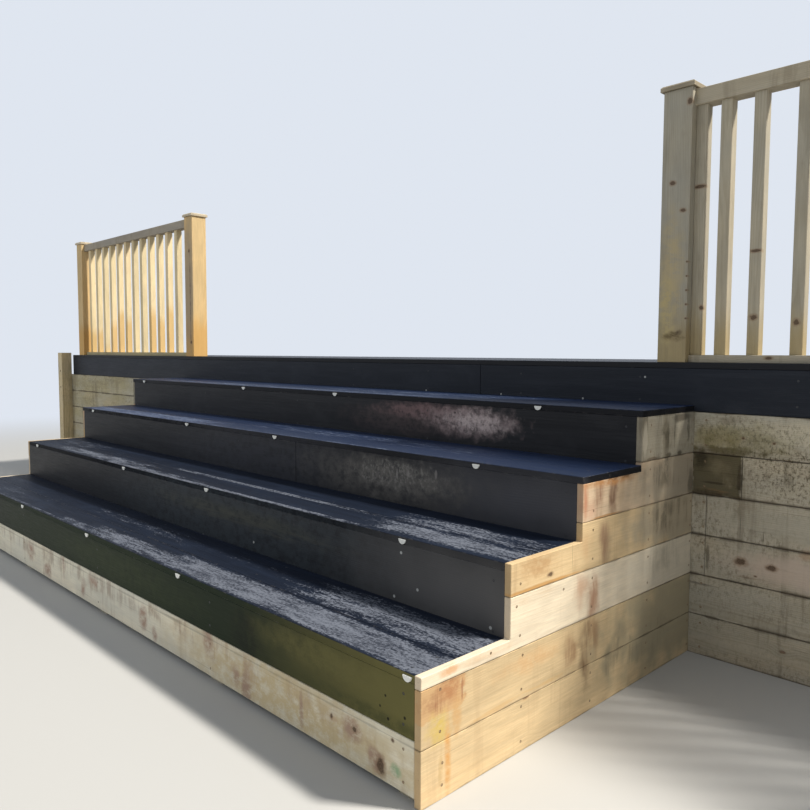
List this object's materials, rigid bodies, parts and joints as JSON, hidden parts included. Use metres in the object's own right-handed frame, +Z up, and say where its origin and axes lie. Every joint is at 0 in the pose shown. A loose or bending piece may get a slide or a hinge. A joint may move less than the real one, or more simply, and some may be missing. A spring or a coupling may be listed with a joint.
{
  "type": "wooden deck stairs",
  "caption": "Wide timber stairs up to a raised deck, with boarded retaining walls and balustrades beside the flight.",
  "frame": {"origin": "on the floor, under the centre of the whole stairs and deck", "axes": "+X right along the treads, +Y from the foot of the flight to the back of the deck, +Z up"},
  "size_m": [8.32, 2.644, 2.092],
  "materials": {
    "black_timber": "black exterior paint, semi-gloss, dusty and worn on the treads",
    "side_timber": "bare treated softwood boards, fresh",
    "wall_timber": "bare treated softwood boards, weathered",
    "rail_timber": "planed treated softwood, fresh yellow",
    "frame_timber": "sawn treated softwood framing",
    "light_lens": "white diffusing lens"
  },
  "bodies": {
    "root": {"base_board": "side_timber", "riser_1": "black_timber", "riser_2": "black_timber", "riser_3": "black_timber", "riser_4": "black_timber", "tread_1": "black_timber", "tread_2": "black_timber", "tread_3": "black_timber", "tread_4": "black_timber", "side_right_lower_courses": "side_timber", "side_right_course_3": "side_timber", "side_right_course_4": "side_timber", "side_right_course_5": "side_timber", "side_right_course_6": "side_timber", "side_left_lower_courses": "side_timber", "side_left_course_3": "side_timber", "side_left_course_4": "side_timber", "side_left_course_5": "side_timber", "side_left_course_6": "side_timber", "flight_posts": "frame_timber", "flight_bearers": "frame_timber", "fascia_front": "black_timber", "fascia_return": "black_timber", "wall_right": "wall_timber", "wall_left": "wall_timber", "wall_right_end": "wall_timber", "wall_left_end": "wall_timber", "wall_back": "wall_timber", "wall_post_right": "wall_timber", "wall_post_left": "wall_timber", "deck_posts": "frame_timber", "deck_beams": "frame_timber", "deck_joists": "frame_timber", "deck_boards": "black_timber", "newel_left": "rail_timber", "newel_right": "rail_timber", "rail_post_left": "rail_timber", "rail_post_right": "rail_timber", "post_caps": "rail_timber", "top_rail_left": "rail_timber", "top_rail_right": "rail_timber", "bottom_rail_left": "rail_timber", "bottom_rail_right": "rail_timber", "spindles_left": "rail_timber", "spindles_right": "rail_timber", "step_lights": "light_lens"}
  },
  "joints": []
}
